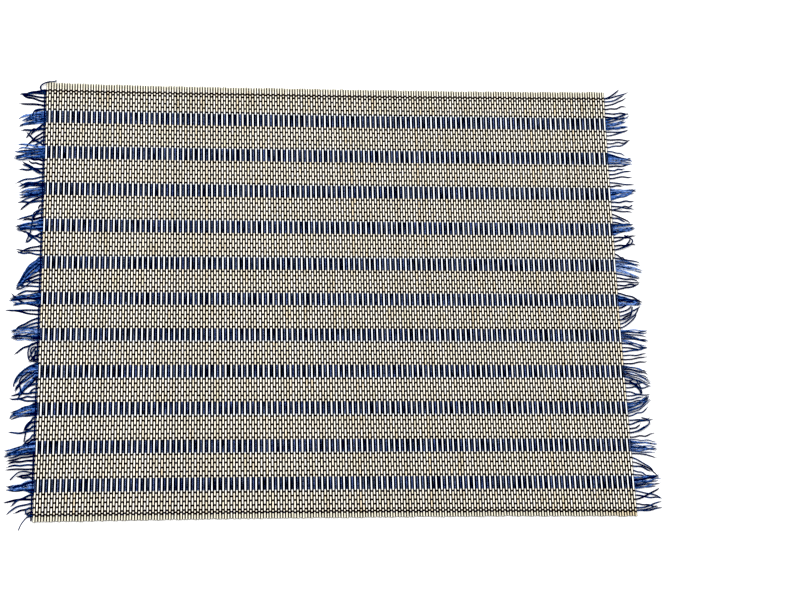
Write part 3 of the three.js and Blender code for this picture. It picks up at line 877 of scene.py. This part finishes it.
def uneven_sticks(mesh, sizes):
    """Gives each stick its own width, bow, ends and tone."""
    points = read_points(mesh)
    x, y, z = points.T
    index = nearest_stick(x, sizes)
    middle = stick_places(sizes)[index]
    sway, phase = stick_sway(sizes, index, y)
    count = sizes.stick_count
    draw = draws("sticks")
    width = draw.uniform(0.9, 1.04, count)[index]
    far_end = draw.uniform(-0.45, 0.25, count)[index]
    near_end = draw.uniform(-0.25, 0.45, count)[index]
    lift = draw.normal(0, LIFT, count)[index]
    tone = np.clip(draw.normal(0.02, 0.06, count), 0, 0.25)[index]
    tan = np.zeros(count)
    tan_sticks = draw.uniform(0.1, 0.45, TAN_STICKS)
    tan[draw.choice(count, TAN_STICKS, replace=False)] = tan_sticks
    tan_phase = draw.uniform(0, FULL_TURN, count)[index]

    # Depth below the nearer face, top or bottom, by which the finish paints shade on the sides.
    write_attribute(mesh, "stick_depth", sizes.stick_thickness / MM / 2 - np.abs(z - MIDDLE))
    patch = np.clip(np.sin(y / TAN_WAVE + tan_phase) * 1.5, 0, 1)
    write_attribute(mesh, "stick_tone", np.clip(tone + tan[index] * patch, 0, 1))
    along = y / HALF_LENGTH
    x[:] = middle + (x - middle) * width + sway
    y += np.where(along > 0, far_end, near_end) * np.abs(along) ** END_POWER
    z += lift * np.cos(y / LIFT_WAVE + phase)
    x[:], y[:] = settled_stick(x, y)
    write_points(mesh, points)


class MAT_OT_sticks(bpy.types.Operator):
    """Lay the bamboo sticks side by side"""

    bl_idname = "table_mat.sticks"
    bl_label = "Bamboo sticks"

    def execute(self, context):
        sizes = context.scene.mat_sizes
        sticks = model_stick(sizes)
        array_along_x(sticks, sizes.stick_count, sizes.stick_pitch, merge=False)
        uneven_sticks(sticks.data, sizes)
        make_active(sticks)
        bpy.ops.object.shade_smooth_by_angle(angle=math.radians(35))
        finish_piece(sticks, "split_bamboo", ["mat"])
        return {"FINISHED"}


# --- the woven yarn ---


def extrude_by(x, z):
    """Draws the selection out by x and z, in millimetres."""
    bpy.ops.mesh.extrude_region_move(TRANSFORM_OT_translate={"value": (x * MM, 0, z * MM)})


def model_crossing_yarn(sizes):
    """One yarn over the first stick, under the second, and so on across the mat."""
    deselect_all()
    pitch = sizes.stick_pitch / MM
    left = -(sizes.stick_count - 1) / 2 * pitch
    start = left - OVER_HALF
    bpy.ops.mesh.primitive_circle_add(
        vertices=YARN_SIDES, radius=0.5, fill_type="NOTHING", location=(start * MM, 0, HIGH * MM)
    )
    yarn = bpy.context.active_object
    yarn.scale = (sizes.yarn_thickness, sizes.yarn_width, 1)
    yarn.rotation_euler = (0, math.radians(90), 0)
    place_applied(yarn, "crossing_yarn")
    bpy.ops.object.mode_set(mode="EDIT")
    bpy.ops.mesh.select_all(action="SELECT")
    over = 2 * OVER_HALF
    through = pitch - over
    fall = LOW - HIGH
    for way, rise in ((over, 0), (through, fall), (over, 0), (through, -fall)):
        extrude_by(way, rise)
    bpy.ops.object.mode_set(mode="OBJECT")
    array_along_x(yarn, sizes.stick_count // 2, 2 * sizes.stick_pitch, merge=True)

    bpy.ops.object.mode_set(mode="EDIT")
    end_gap = pitch / 2 - OVER_HALF
    pick(yarn, "VERT", lambda vert: vert.co.x < (start + PICK_REACH) * MM)
    extrude_by(-end_gap, MIDDLE - HIGH)
    bpy.ops.mesh.edge_face_add()
    last = -left + OVER_HALF + through
    pick(yarn, "VERT", lambda vert: vert.co.x > (last - PICK_REACH) * MM)
    bpy.ops.transform.translate(value=((end_gap - through) * MM, 0, (MIDDLE - HIGH) * MM))
    bpy.ops.mesh.edge_face_add()
    bpy.ops.mesh.select_all(action="SELECT")
    bpy.ops.mesh.normals_make_consistent(inside=False)
    bpy.ops.object.mode_set(mode="OBJECT")
    bpy.ops.object.shade_smooth()
    return yarn


def lay_yarn(master, draw, place, over_even, arc=0.0, width=1.0, wander=0.1, tone=1.0):
    """A copy of the master yarn laid across the mat at place."""
    sizes = bpy.context.scene.mat_sizes
    pitch = sizes.stick_pitch / MM
    yarn = master.copy()
    yarn.data = master.data.copy()
    bpy.context.collection.objects.link(yarn)
    points = read_points(yarn.data)
    x, y, z = points.T
    stick = nearest_stick(x, sizes)
    # How many corners of the yarn lie before each point: two on every stick.
    step = 2 * stick + (x > stick_places(sizes)[stick])
    side = y * width
    if not over_even:
        side = -side
        z[:] = 2 * MIDDLE - z
    stops = (np.arange(sizes.stick_count + 2) - (sizes.stick_count + 1) / 2) * pitch
    jitter = np.interp(x, stops, draw.normal(0, wander / 2, len(stops)))
    swing = np.zeros_like(x)
    for length in WANDER_WAVES:
        swing += np.sin(x / length * FULL_TURN + draw.uniform(0, FULL_TURN)) * wander / 2
    swing *= np.clip((HALF_WIDTH - np.abs(x)) / CALM_EDGE, 0, 1)
    if arc:
        phase = (x - stops[1]) / pitch * math.pi
        swing += arc * np.cos(phase) * (1 if over_even else -1)
    x += np.interp(x, stick_places(sizes), stick_sway(sizes, slice(None), place)[0])
    x[:], middle = settled_row(x, np.full_like(x, place))
    y[:] = middle + side + swing + jitter
    write_points(yarn.data, points)
    write_attribute(yarn.data, "yarn_tone", np.full(len(points), tone * draw.uniform(0.7, 1.0)))
    write_attribute(yarn.data, "yarn_step", step)
    return yarn


def master_yarn():
    """The master yarn, modelled once and kept until the last row is laid."""
    made = bpy.data.objects.get("crossing_yarn")
    return made or model_crossing_yarn(bpy.context.scene.mat_sizes)


def weave_piece(name, rows, draw, **shape):
    """Lays the rows, (place, over even sticks) or with an arc too, as one piece."""
    master = master_yarn()
    yarns = [lay_yarn(master, draw, *row, **shape) for row in rows]
    make_active(*yarns)
    bpy.ops.object.join()
    yarns[0].name = name
    yarns[0].data.name = name
    finish_piece(yarns[0], "woven_yarn", ["mat"])


class MAT_OT_single_rows(bpy.types.Operator):
    """Weave the single rows of yarn between the stripes"""

    bl_idname = "table_mat.single_rows"
    bl_label = "Single rows"

    def execute(self, context):
        draw = draws("single_rows")
        groups = single_rows()
        half = len(groups) // 2
        for name, chosen in (("far", groups[:half]), ("near", groups[half:])):
            weave_piece("single_rows_" + name, sum(chosen, []), draw, width=1.08, tone=0.22)
        return {"FINISHED"}


class MAT_OT_stripes(bpy.types.Operator):
    """Weave the dense stripes of yarn"""

    bl_idname = "table_mat.stripes"
    bl_label = "Stripes"

    def execute(self, context):
        draw = draws("stripes")
        parts = (("far", range(4)), ("middle", range(4, 8)), ("near", range(8, STRIPE_COUNT)))
        for name, stripes in parts:
            rows = [(place, k % 2 == 0) for k in stripes for place in stripe_rows(k)]
            weave_piece("stripes_" + name, rows, draw, width=0.8, wander=0.03)
        return {"FINISHED"}


class MAT_OT_twined_ends(bpy.types.Operator):
    """Twine a pair of yarns across each end of the mat"""

    bl_idname = "table_mat.twined_ends"
    bl_label = "Twined ends"

    def execute(self, context):
        draw = draws("twined_ends")
        weave_piece("twined_ends", twined_rows(), draw, width=1.05, wander=0.12, tone=0.22)
        bpy.data.objects.remove(master_yarn())
        return {"FINISHED"}


# --- the loose yarn ---


def edge_of(side, place):
    """Where a row leaves the mat on that side, in millimetres."""
    return settled_row(side * (HALF_WIDTH - EDGE_INSET), place)


def past_edge_yarn(path, fall, over_even):
    """A left end's path, led under or over the edge yarn that lies in its way."""
    crossing = path[0] - [CROSSING_OUT, 0, 0]
    beyond = crossing - [BEYOND_OUT, fall[1] * 0.5, 0]
    crossing[2], beyond[2] = UNDER_HEIGHTS if over_even else OVER_HEIGHTS
    clear = path[path[:, 0] < path[0, 0] - CLEAR_OUT]
    return np.vstack([path[0], crossing, beyond, clear])


def fray(yarns, path, tone, draw):
    """Two thin fibres at the tip of a yarn end."""
    back = path[-3]
    ahead = path[-1] - back
    ahead[2] = 0
    ahead /= max(np.linalg.norm(ahead), 1e-6)
    beside = np.array([-ahead[1], ahead[0], 0])
    for _ in range(2):
        spread = draw.normal(0, FRAY_SPREAD)
        length = draw.uniform(*FRAY_LENGTH)
        end = path[-1] + ahead * length + beside * spread
        bend = path[-1] + ahead * length * 0.4 + beside * spread * 0.25
        yarns.add([back, bend, end], FRAY_RADII, FRAY_SIDES, tone, tip_start=0.0)


def add_loose_end(
    yarns, side, place, drop, reach, over_even, draw,
    layer=0.0, tip_shift=0.0, tone=0.2, gather=0.0, late=0.0, plump=None,
):
    """One yarn end from the mat's edge out over the floor, with its frayed tip."""
    x, y = edge_of(side, place)
    t = np.linspace(0, 1, LOOSE_STEPS) ** 1.05
    steep = min(abs(drop) / max(reach, 1.0), 1.5)
    out = reach * (1 - (1 - t) ** (1 + 0.3 * steep))
    bend = t ** max(BEND_POWER + late, 1.0)
    fall = drop * bend
    aside = tip_shift * ((1 - gather) * bend + gather * (1 - (1 - t) ** 3))
    size = draw.uniform(*WAVE_SIZE)
    turns = draw.uniform(*WAVE_TURNS)
    wave = size * np.sin(FULL_TURN * (turns * t + draw.uniform()))
    wave = (wave - wave[0]) * np.minimum(1.6 * t, 1)
    rest = LOOSE_RADIUS + 0.05 + layer + draw.uniform(0, 0.25)
    height = rest + (MIDDLE - rest) * np.clip(1 - out / SETTLE_REACH, 0, 1) ** 2
    height += 0.25 * np.sin(math.pi * t) * draw.uniform()
    path = np.column_stack([x + side * out, y - fall + wave + aside, height])
    if side < 0:
        path = past_edge_yarn(path, fall, over_even)
    if plump is None:
        plump = SINGLE_PLUMP * (LEFT_PLUMP if side < 0 else RIGHT_PLUMP)
    radii = np.full(len(path), LOOSE_RADIUS) * plump * draw.uniform(*THICKNESS)
    radii[-3:] *= TIP_TAPER
    tone *= draw.choice(TONES) * draw.uniform(*TONE_SPREAD)
    yarns.add(path, radii, LOOSE_SIDES, tone, turn=draw.uniform(*TURN))
    fray(yarns, path, tone, draw)


def add_curl(yarns, side, place, way, draw):
    """One yarn end that curls over the others, from listed points."""
    x, y = edge_of(side, place)
    if way[0][0] > 0:
        way = ((0, 0), *way)
    heights = np.interp(np.linspace(0, 1, len(way)), CURL_SHARES, CURL_HEIGHTS)
    points = [(x + side * out, y - drop, z) for (out, drop), z in zip(way, heights)]
    path = smooth_path(points, 2 * LOOSE_STEPS)
    radii = np.full(len(path), CURL_PLUMP * LOOSE_RADIUS)
    radii[-2:] *= CURL_TAPER
    yarns.add(path, radii, LOOSE_SIDES, draw.uniform(*CURL_TONE), turn=draw.uniform(*TURN))


def clumped_tips(draw):
    """How far each yarn of a stripe leans to its clump's middle, and its clump's first."""
    lean = np.zeros(STRIPE_YARNS)
    clump = np.zeros(STRIPE_YARNS, dtype=int)
    start = 0
    while start < STRIPE_YARNS:
        end = min(start + draw.choice(CLUMP_SIZES), STRIPE_YARNS)
        members = np.arange(start, end)
        lean[members] = (members - members.mean()) * STRIPE_YARN_PITCH * CLUMP_LEAN
        clump[members] = start
        start = end
    return lean, clump


def add_locks(yarns, side, locks, draw):
    """The loose ends of every stripe on one side."""
    for stripe, (first, last, reach, gather, tone, plump) in enumerate(locks):
        lean, clump = clumped_tips(draw)
        clumps = set(clump.tolist())
        longer = {start: draw.uniform(*CLUMP_LONGER) for start in clumps}
        aside = {start: draw.normal(0, CLUMP_ASIDE) for start in clumps}
        for k, place in enumerate(stripe_rows(stripe)):
            share = k / (STRIPE_YARNS - 1)
            own = (last - first) * (share - 0.5)
            stray = draw.normal(0, STRAY_ASIDE) if draw.uniform() < STRAY_SHARE else 0.0
            far = reach + longer[clump[k]] + draw.uniform(*END_LONGER)
            layer = draw.choice(LAYERS)
            shift = lean[k] + aside[clump[k]] + stray - own
            late = DROP_LATE * (first + last) * (0.5 - share)
            add_loose_end(
                yarns, side, place, (first + last) / 2, max(far, LEAST_REACH), stripe % 2 == 0,
                draw, layer, shift, tone, gather, late, plump,
            )


def loose_side(side, locks, singles, curls, name):
    """All loose yarn ends of one side as one piece."""
    draw = draws(name)
    yarns = YarnMesh()
    add_locks(yarns, side, locks, draw)
    rows = single_rows()
    far_outer, far_inner, near_outer, near_inner = (yarn[:2] for yarn in twined_rows())
    far, near = (far_inner, near_outer) if side < 0 else (far_outer, near_inner)
    groups = [[far] + rows[0], *rows[1:-1], rows[-1] + [near]]
    for ends, group in zip(singles, groups):
        for (drop, reach), (place, over_even) in zip(ends[-len(group):], group):
            add_loose_end(yarns, side, place, drop, reach, over_even, draw)
    for group, row, way in curls:
        add_curl(yarns, side, rows[group][row][0], way, draw)
    # The second yarn of each twined pair lies shorter, on top of its neighbour.
    seconds = ((far_outer, singles[0][0], SPLAY), (near_inner, singles[-1][-1], -SPLAY))
    for (place, over_even), (drop, reach), splay in seconds:
        add_loose_end(yarns, side, place, drop + splay, reach * 0.8, over_even, draw, 0.5)
    return yarns.piece(name)


class MAT_OT_loose_ends(bpy.types.Operator):
    """Let the yarn ends hang loose on both sides"""

    bl_idname = "table_mat.loose_ends"
    bl_label = "Loose ends"

    def execute(self, context):
        for side, *ends, name in (
            (-1, LEFT_LOCKS, LEFT_SINGLES, LEFT_CURLS, "left"),
            (1, RIGHT_LOCKS, RIGHT_SINGLES, RIGHT_CURLS, "right"),
        ):
            piece = loose_side(side, *ends, "loose_ends_" + name)
            finish_piece(piece, "loose_yarn", ["fringe_" + name])
        return {"FINISHED"}


class MAT_OT_edge_yarn(bpy.types.Operator):
    """Lay the yarn along the left edge"""

    bl_idname = "table_mat.edge_yarn"
    bl_label = "Edge yarn"

    def execute(self, context):
        places = np.linspace(*EDGE_YARN_SPAN, EDGE_YARN_STEPS)
        x, y = settled_row(np.full(EDGE_YARN_STEPS, -(HALF_WIDTH + EDGE_YARN_OUT)), places)
        body = np.column_stack([x, y, MIDDLE + 0.08 * np.sin(places * 1.7)])
        far = smooth_path(EDGE_FAR_END, EDGE_END_STEPS)
        near = smooth_path(EDGE_NEAR_END, EDGE_END_STEPS)
        yarns = YarnMesh()
        for path, thick, thin, sides, tone, tip_start in (
            (body, 0.5, 0.5, 6, 0.1, 0.99),
            (far, 0.6, 0.42, LOOSE_SIDES, 0.1, 0.9),
            (near, 0.40, 0.30, LOOSE_SIDES, 0.2, 0.99),
        ):
            yarns.add(path, np.linspace(thick, thin, len(path)), sides, tone, tip_start)
        finish_piece(yarns.piece("edge_yarn"), "loose_yarn", ["fringe_left"])
        return {"FINISHED"}


# --- the stage ---


def soft_light(name, place, size, power):
    """A square soft light at place, turned towards the middle of the mat."""
    bpy.ops.object.light_add(type="AREA", location=place)
    light = bpy.context.active_object
    light.name = name
    light.data.shape = "SQUARE"
    light.data.size = size
    light.data.energy = power
    x, y, z = place
    tilt = math.atan2(math.hypot(x, y), z)
    light.rotation_euler = (tilt, 0, math.atan2(-y, -x) - math.pi / 2)


class MAT_OT_stage(bpy.types.Operator):
    """Set up the floor, the soft light and the camera"""

    bl_idname = "table_mat.stage"
    bl_label = "Stage"

    def execute(self, context):
        scene = context.scene
        deselect_all()
        bpy.ops.mesh.primitive_plane_add(size=FLOOR_SIZE, location=(0, 0, -FLOOR_DROP))
        floor = place_applied(bpy.context.active_object, "floor")
        material, _, shader = plain_material("floor", 0.9, 0.1)
        shader.inputs["Base Color"].default_value = (*scene.mat_colours.floor, 1)
        floor.data.materials.append(material)

        world = bpy.data.worlds.new("studio")
        world.use_nodes = True
        sky = world.node_tree.nodes["Background"]
        sky.inputs["Color"].default_value = (1, 1, 1, 1)
        sky.inputs["Strength"].default_value = SKY_STRENGTH
        scene.world = world
        for light in LIGHTS:
            soft_light(*light)

        turn = tuple(math.radians(angle) for angle in CAMERA_TURN)
        bpy.ops.object.camera_add(location=CAMERA_PLACE, rotation=turn)
        camera = bpy.context.active_object
        camera.name = "camera"
        camera.data.lens = CAMERA_LENS
        camera.data.clip_start = 0.01
        camera.data.clip_end = 20
        scene.camera = camera
        view = scene.view_settings
        view.view_transform = "Standard"
        view.gamma = GAMMA
        view.use_curve_mapping = True
        view.curve_mapping.black_level = (BLACK_LEVEL,) * 3
        view.curve_mapping.update()
        return {"FINISHED"}


class MAT_PT_panel(bpy.types.Panel):
    """The mat's steps, in order"""

    bl_idname = "MAT_PT_panel"
    bl_label = "Table mat"
    bl_space_type = "VIEW_3D"
    bl_region_type = "UI"
    bl_category = "Table mat"

    def draw(self, context):
        for step in STEPS:
            self.layout.operator(step.bl_idname)
        for group in (context.scene.mat_sizes, context.scene.mat_colours):
            box = self.layout.box()
            for name in group.__annotations__:
                box.prop(group, name)


STEPS = (
    MAT_OT_stage,
    MAT_OT_sticks,
    MAT_OT_single_rows,
    MAT_OT_stripes,
    MAT_OT_twined_ends,
    MAT_OT_edge_yarn,
    MAT_OT_loose_ends,
)
CLASSES = (MatSizes, MatColours, *STEPS, MAT_PT_panel)


def register():
    """Adds the classes and the settings to Blender."""
    for each in CLASSES:
        bpy.utils.register_class(each)
    bpy.types.Scene.mat_sizes = bpy.props.PointerProperty(type=MatSizes)
    bpy.types.Scene.mat_colours = bpy.props.PointerProperty(type=MatColours)


def unregister():
    """Takes the classes and the settings out again."""
    del bpy.types.Scene.mat_colours
    del bpy.types.Scene.mat_sizes
    for each in reversed(CLASSES):
        bpy.utils.unregister_class(each)


def main():
    """Models the mat step by step."""
    register()
    for step in STEPS:
        group, name = step.bl_idname.split(".")
        result = getattr(getattr(bpy.ops, group), name)()
        if result != {"FINISHED"}:
            raise RuntimeError(f"{step.bl_label} did not finish")


if __name__ == "__main__":
    main()
